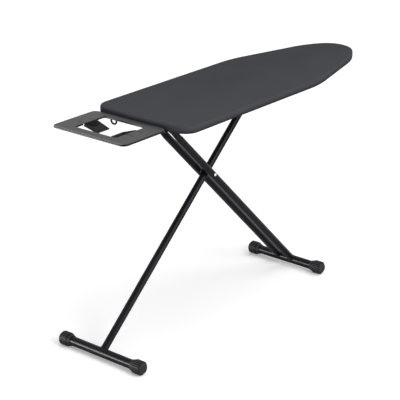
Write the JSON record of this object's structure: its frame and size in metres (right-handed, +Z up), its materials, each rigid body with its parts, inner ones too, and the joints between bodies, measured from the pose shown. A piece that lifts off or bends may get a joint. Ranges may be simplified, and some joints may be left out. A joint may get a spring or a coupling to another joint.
{
  "type": "folding ironing board",
  "caption": "Folding ironing board: padded cloth-covered top tapering to a round nose, metal iron rest at the heel, crossed tube legs that fold flat.",
  "frame": {"origin": "middle of the footprint's bounding box, on the floor", "axes": "+Z up, +X from the iron rest towards the nose, +Y across towards the side with the release handle"},
  "size_m": [1.3623, 0.4, 0.7847],
  "materials": {
    "cover_cloth": "plain charcoal cotton, drawn tight",
    "felt": "needled felt",
    "black_paint": "satin black powder coat on steel",
    "rest_paint": "semi-gloss dark grey paint on sheet steel",
    "silicone": "matt black silicone",
    "black_plastic": "black moulded plastic",
    "bright_steel": "zinc-plated steel"
  },
  "bodies": {
    "board": {"mesh_top": "black_paint", "rim_frame": "black_paint", "underlay_pad": "felt", "cover": "cover_cloth", "rack_channel": "black_paint", "heel_bracket_near": "black_paint", "heel_bracket_far": "black_paint", "heel_pin_near": "bright_steel", "heel_pin_far": "bright_steel", "bracket_rivets": "bright_steel", "rack_rivets": "bright_steel", "strap_rivets": "bright_steel", "iron_rest_plate": "rest_paint", "rest_sleeve_near": "silicone", "rest_sleeve_far": "silicone", "rest_strap_near": "black_paint", "rest_strap_far": "black_paint", "hang_loop": "black_paint", "lever_pin_near": "bright_steel", "lever_pin_far": "bright_steel"},
    "twin_leg": {"twin_leg_near": "black_paint", "twin_leg_far": "black_paint", "twin_foot_bar": "black_paint", "twin_foot_cap_near": "black_plastic", "twin_foot_cap_far": "black_plastic", "cross_bolt": "bright_steel", "pivot_spacer_near": "black_plastic", "pivot_spacer_far": "black_plastic"},
    "single_leg": {"single_leg": "black_paint", "single_foot_bar": "black_paint", "single_foot_cap_near": "black_plastic", "single_foot_cap_far": "black_plastic", "slider_rod": "bright_steel", "slider_disc_near": "black_plastic", "slider_disc_far": "black_plastic"},
    "lever": {"release_lever": "black_paint", "lever_grip": "black_plastic", "lever_spring": "bright_steel"}
  },
  "joints": [
    {"name": "fold", "type": "hinge", "parent": "board", "child": "twin_leg", "pos_m": [-0.37711, 0, 0.7542], "axis": [0, -1, 0], "range_deg": [-8, 41.4]},
    {"name": "cross_pivot", "type": "hinge", "parent": "twin_leg", "child": "single_leg", "pos_m": [-0.12423, 0, 0.5022], "axis": [0, 1, 0], "range_deg": [-16, 82.8]},
    {"name": "release", "type": "hinge", "parent": "board", "child": "lever", "pos_m": [0.04591, 0, 0.73232], "axis": [0, -1, 0], "range_deg": [0, 4], "stiffness_Nm_per_rad": 1, "springref_deg": -17.19}
  ],
  "couplings": [
    {"joint": "cross_pivot", "follows": "fold", "ratio": 2}
  ]
}
